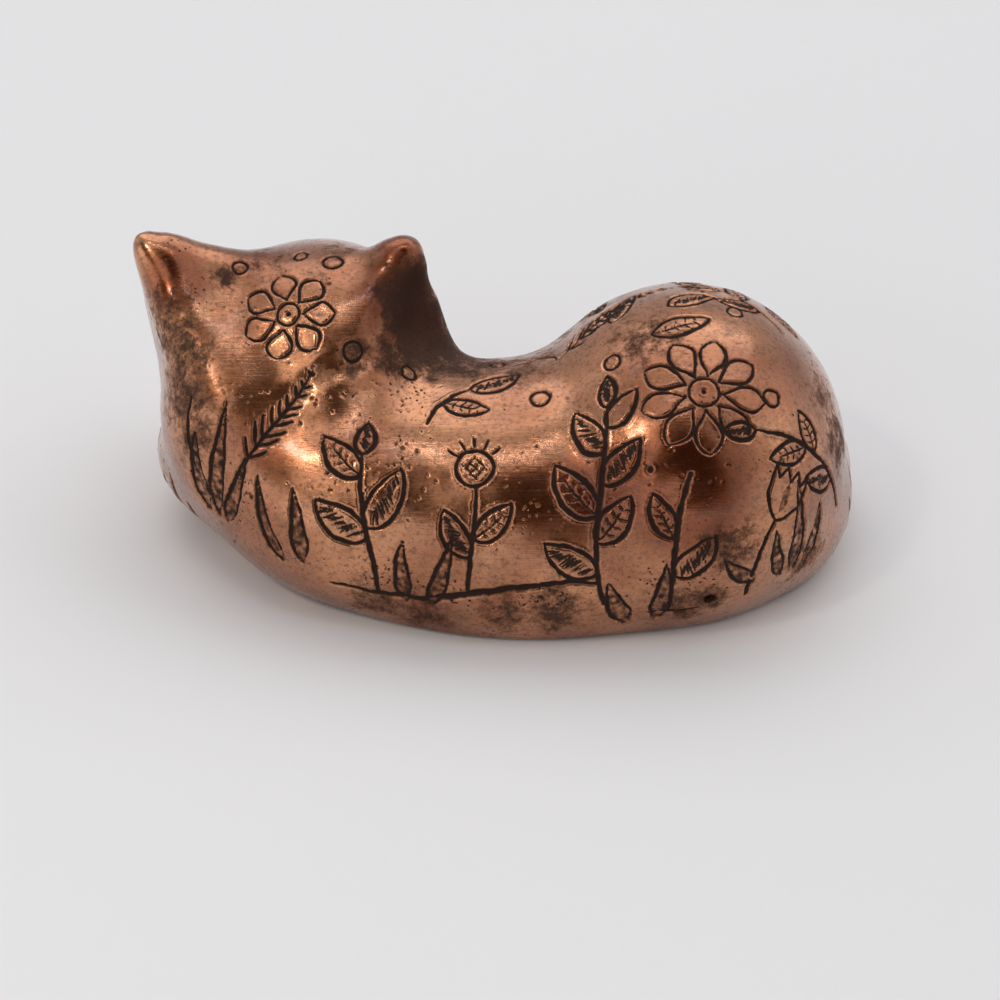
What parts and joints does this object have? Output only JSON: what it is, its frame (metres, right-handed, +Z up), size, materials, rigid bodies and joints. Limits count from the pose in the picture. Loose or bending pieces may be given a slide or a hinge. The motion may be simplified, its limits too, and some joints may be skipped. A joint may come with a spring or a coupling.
{
  "type": "cat figurine",
  "caption": "Hollow cast copper figurine of a cat lying curled with its head up, with a closed base plate and a felt pad.",
  "frame": {"origin": "on the surface that the figurine stands on, under the middle of its bounding box", "axes": "+X from the head towards the rump, +Y the way the face looks, into the curl, +Z up"},
  "size_m": [0.0996, 0.0564, 0.0432],
  "materials": {
    "cast_copper": "cast copper alloy, polished, with dark patina in the recesses and clear lacquer",
    "plate_copper": "rolled copper sheet, brushed and dulled",
    "felt": "dark wool felt"
  },
  "bodies": {
    "root": {"cat_casting": "cast_copper", "base_plate": "plate_copper", "felt_pad": "felt"}
  },
  "joints": []
}
